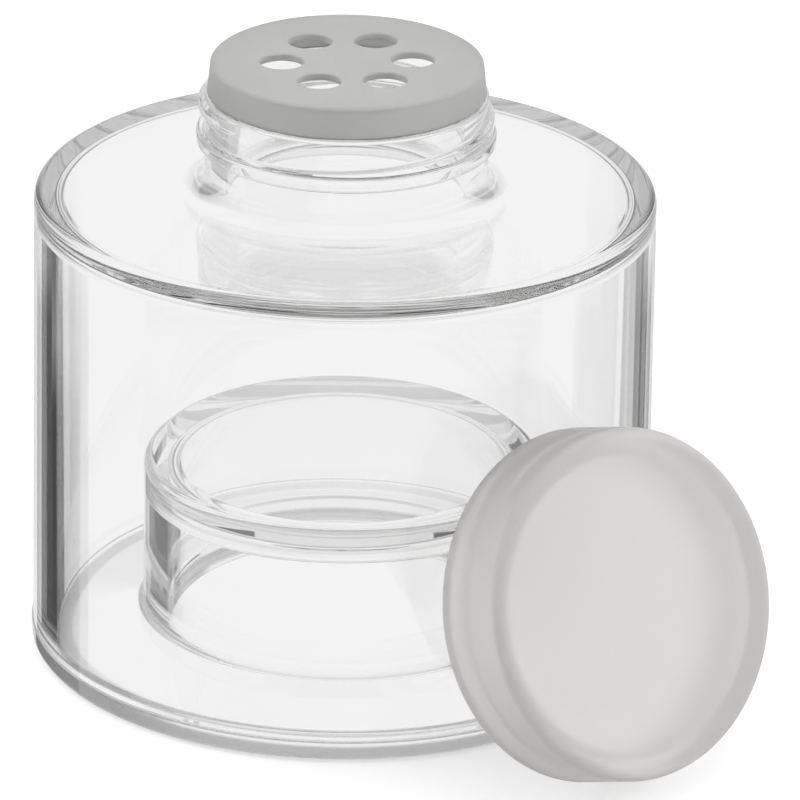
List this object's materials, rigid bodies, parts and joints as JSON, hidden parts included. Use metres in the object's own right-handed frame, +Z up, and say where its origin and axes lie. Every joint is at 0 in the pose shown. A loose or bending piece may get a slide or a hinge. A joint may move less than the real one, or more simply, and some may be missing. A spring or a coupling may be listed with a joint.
{
  "type": "stacking spice jar",
  "caption": "Squat clear plastic spice jar with a threaded neck, perforated shaker insert, stacking pocket in its base and a frosted screw cap taken off and leaning on its wall.",
  "frame": {"origin": "on the jar's axis at the table, in the middle of the foot ring", "axes": "+Z up along the jar's axis, -Y towards the viewer of the picture, +X to the viewer's right"},
  "size_m": [0.0947, 0.1003, 0.0797],
  "materials": {
    "clear_plastic": "clear, polished mould",
    "shaker_plastic": "fine satin, pale grey",
    "cap_plastic": "frosted satin, pale translucent grey"
  },
  "bodies": {
    "jar": {"jar_body": "clear_plastic", "jar_base": "clear_plastic"},
    "shaker": {"shaker_insert": "shaker_plastic"},
    "cap": {"screw_cap": "cap_plastic"}
  },
  "joints": [
    {"name": "shaker_lift", "type": "slide", "parent": "jar", "child": "shaker", "axis": [0, 0, 1], "range_m": [0, 0.03]},
    {"name": "cap_lift", "type": "slide", "parent": "jar", "child": "cap", "axis": [0.5949, -0.7243, 0.3486], "range_m": [0, 0.06]}
  ]
}
